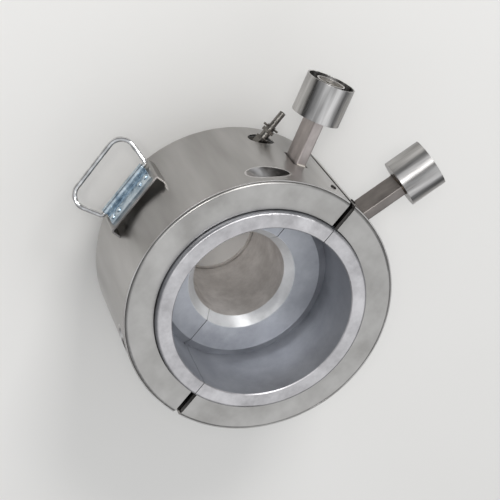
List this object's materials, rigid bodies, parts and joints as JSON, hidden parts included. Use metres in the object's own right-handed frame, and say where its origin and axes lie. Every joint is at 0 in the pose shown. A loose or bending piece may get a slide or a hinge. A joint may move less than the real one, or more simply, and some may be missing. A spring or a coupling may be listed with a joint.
{
  "type": "cast-in heater",
  "caption": "Split bored aluminium casting with cast-in heating elements, in an insulated stainless shroud with terminal cups and a bail handle.",
  "frame": {"origin": "on the bore axis, in the plane of the rear face on which the heater stands", "axes": "+Z along the bore towards the wide mouth, +X in the split plane towards the terminals, +Y towards the handle"},
  "size_m": [0.3927, 0.35, 0.226],
  "materials": {
    "cast_aluminium": "sand cast, with turned faces",
    "brushed_stainless": "circular and lengthwise brushed sheet",
    "polished_stainless": "polished tube",
    "element_sheath": "annealed tube sheath",
    "ceramic_fibre": "needled fibre blanket",
    "steatite": "glazed ceramic",
    "nickel_plated_steel": "nickel plate",
    "black_oxide_steel": "black oxide",
    "zinc_plated_steel": "bright bluish zinc plate",
    "chromed_wire": "bright chrome plate"
  },
  "bodies": {
    "heater": {"upper_casting": "cast_aluminium", "lower_casting": "cast_aluminium", "upper_wrap": "brushed_stainless", "lower_wrap": "brushed_stainless", "upper_front_plate": "brushed_stainless", "lower_front_plate": "brushed_stainless", "upper_rear_plate": "brushed_stainless", "lower_rear_plate": "brushed_stainless", "upper_closing_plates": "brushed_stainless", "lower_closing_plates": "brushed_stainless", "upper_terminal_tube": "brushed_stainless", "lower_terminal_tube": "brushed_stainless", "handle_bracket": "brushed_stainless", "upper_terminal_cup": "polished_stainless", "lower_terminal_cup": "polished_stainless", "upper_terminal_ferrule": "polished_stainless", "lower_terminal_ferrule": "polished_stainless", "bolt_sleeves": "polished_stainless", "upper_heating_element": "element_sheath", "lower_heating_element": "element_sheath", "upper_insulation": "ceramic_fibre", "lower_insulation": "ceramic_fibre", "upper_terminal_insulator": "steatite", "lower_terminal_insulator": "steatite", "upper_terminal_studs": "nickel_plated_steel", "lower_terminal_studs": "nickel_plated_steel", "thermocouple_adapter": "nickel_plated_steel", "adapter_lock_nut": "nickel_plated_steel", "bayonet_pin": "nickel_plated_steel", "clamp_bolts": "black_oxide_steel", "clamp_washers": "black_oxide_steel", "shroud_screws": "black_oxide_steel", "handle_base_plate": "zinc_plated_steel", "handle_rivets": "zinc_plated_steel"},
    "bail": {"handle_bail": "chromed_wire"}
  },
  "joints": [
    {"name": "bail_hinge", "type": "hinge", "parent": "heater", "child": "bail", "pos_m": [0, 0.162, 0.101], "axis": [1, 0, 0], "range_deg": [-58, 118]}
  ]
}
